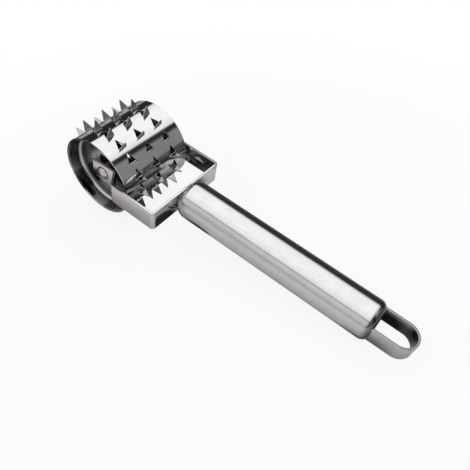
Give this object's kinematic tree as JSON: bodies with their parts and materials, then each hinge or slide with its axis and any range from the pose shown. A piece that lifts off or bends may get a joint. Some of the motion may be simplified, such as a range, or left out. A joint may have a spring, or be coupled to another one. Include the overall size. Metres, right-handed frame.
{
  "type": "rolling meat tenderizer",
  "caption": "Hand roller with a spiked sheet-metal drum turning on rivets in a bent strip fork, on a hollow round handle with a hanging loop.",
  "frame": {"origin": "on the handle's axis, at the middle of its plain tube", "axes": "+X along the handle, towards the hanging loop; Y along the drum's axle; Z square to both, the fork's flat height"},
  "size_m": [0.1962, 0.05, 0.0534],
  "materials": {
    "polished_steel": "mirror polished",
    "satin_steel": "satin polished",
    "dull_steel": "dull"
  },
  "bodies": {
    "handle_frame": {"rivet_left": "polished_steel", "rivet_right": "polished_steel", "spacer_left": "dull_steel", "spacer_right": "dull_steel", "inner_washer_left": "dull_steel", "inner_washer_right": "dull_steel", "fork": "polished_steel", "fork_welds": "dull_steel", "handle_head_cap": "satin_steel", "handle_tube": "satin_steel", "handle_tail_cap": "satin_steel", "hanging_loop": "polished_steel"},
    "drum": {"drum_shell": "polished_steel", "end_cap_left": "polished_steel", "end_cap_right": "polished_steel"}
  },
  "joints": [
    {"name": "drum_spin", "type": "hinge", "parent": "handle_frame", "child": "drum", "pos_m": [-0.096, 0, 0], "axis": [0, 1, 0], "continuous": true}
  ]
}
